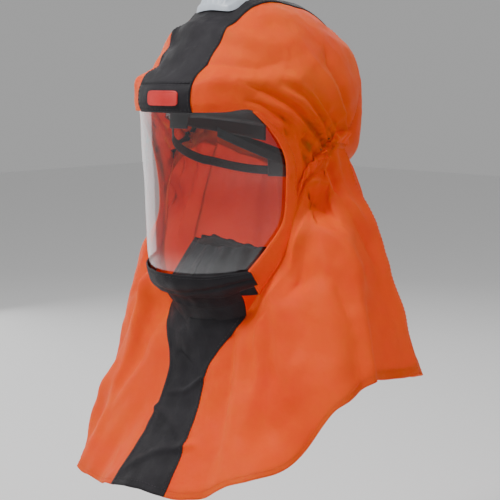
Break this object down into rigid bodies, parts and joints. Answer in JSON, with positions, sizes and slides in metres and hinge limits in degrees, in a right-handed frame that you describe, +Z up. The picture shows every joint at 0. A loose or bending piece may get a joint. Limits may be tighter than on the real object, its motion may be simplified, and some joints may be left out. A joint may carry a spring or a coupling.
{
  "type": "smoke hood",
  "caption": "Air-fed protective hood in orange and black cloth with a clear visor, a long shoulder cape and a head harness inside.",
  "frame": {"origin": "middle of the wearer's head at brow height, where the head holds the hood", "axes": "+Z up, the wearer looks along -Y, +X is the wearer's left"},
  "size_m": [0.3986, 0.3389, 0.5324],
  "materials": {
    "orange_cloth": "coated polyester, fluorescent orange",
    "black_cloth": "coated polyester, black",
    "webbing": "woven tape",
    "label_red": "moulded soft label, blank",
    "lens_clear": "clear flexible sheet, gloss",
    "grey_plastic": "ribbed moulding",
    "black_plastic": "fine texture",
    "foam": "cloth-covered foam",
    "rubber": "matt",
    "steel": "plain"
  },
  "bodies": {
    "shell": {"crown_panel_left": "orange_cloth", "crown_panel_right": "orange_cloth", "rear_panel": "orange_cloth", "visor_surround_left": "orange_cloth", "visor_surround_right": "orange_cloth", "cape_left": "orange_cloth", "cape_right": "orange_cloth", "cape_rear": "orange_cloth", "gather_casing_left": "orange_cloth", "gather_casing_right": "orange_cloth", "brow_band": "black_cloth", "crown_stripe": "black_cloth", "chin_panel": "black_cloth", "neck_cuff": "black_cloth", "throat_panel": "black_cloth", "bib_stripe": "black_cloth", "neck_seal": "black_cloth", "air_duct": "black_cloth", "gather_elastic": "webbing", "neck_seal_elastic": "webbing", "crown_strap_across": "webbing", "crown_strap_along": "webbing", "nape_strap_left": "webbing", "nape_strap_right": "webbing", "brow_label": "label_red", "visor_lens": "lens_clear", "crown_cap": "grey_plastic", "crown_backing_plate": "grey_plastic", "headband": "black_plastic", "brow_bracket": "black_plastic", "ratchet_back_plate": "black_plastic", "ratchet_cover": "black_plastic", "brow_outlet": "black_plastic", "inlet_flange": "black_plastic", "inlet_ring_nut": "black_plastic", "sweatband": "foam", "nape_pad": "foam", "inlet_gasket": "rubber"},
    "knob": {"ratchet_knob": "black_plastic", "ratchet_pinion": "steel"},
    "rack_left": {"rack_strap_left": "black_plastic"},
    "rack_right": {"rack_strap_right": "black_plastic"},
    "hose_swivel": {"hose_socket": "black_plastic"}
  },
  "joints": [
    {"name": "knob_turn", "type": "hinge", "parent": "shell", "child": "knob", "pos_m": [0, 0.1, -0.046], "axis": [0, 1, 0], "range_deg": [-68.7, 68.7]},
    {"name": "rack_left_slide", "type": "slide", "parent": "shell", "child": "rack_left", "axis": [1, 0, 0], "range_m": [-0.006, 0.006]},
    {"name": "rack_right_slide", "type": "slide", "parent": "shell", "child": "rack_right", "axis": [-1, 0, 0], "range_m": [-0.006, 0.006]},
    {"name": "hose_swivel_turn", "type": "hinge", "parent": "shell", "child": "hose_swivel", "pos_m": [0, 0.135, -0.112], "axis": [0, 1, 0], "continuous": true}
  ],
  "couplings": [
    {"joint": "rack_left_slide", "follows": "knob_turn", "m_per_rad": 0.005},
    {"joint": "rack_right_slide", "follows": "knob_turn", "m_per_rad": 0.005}
  ]
}
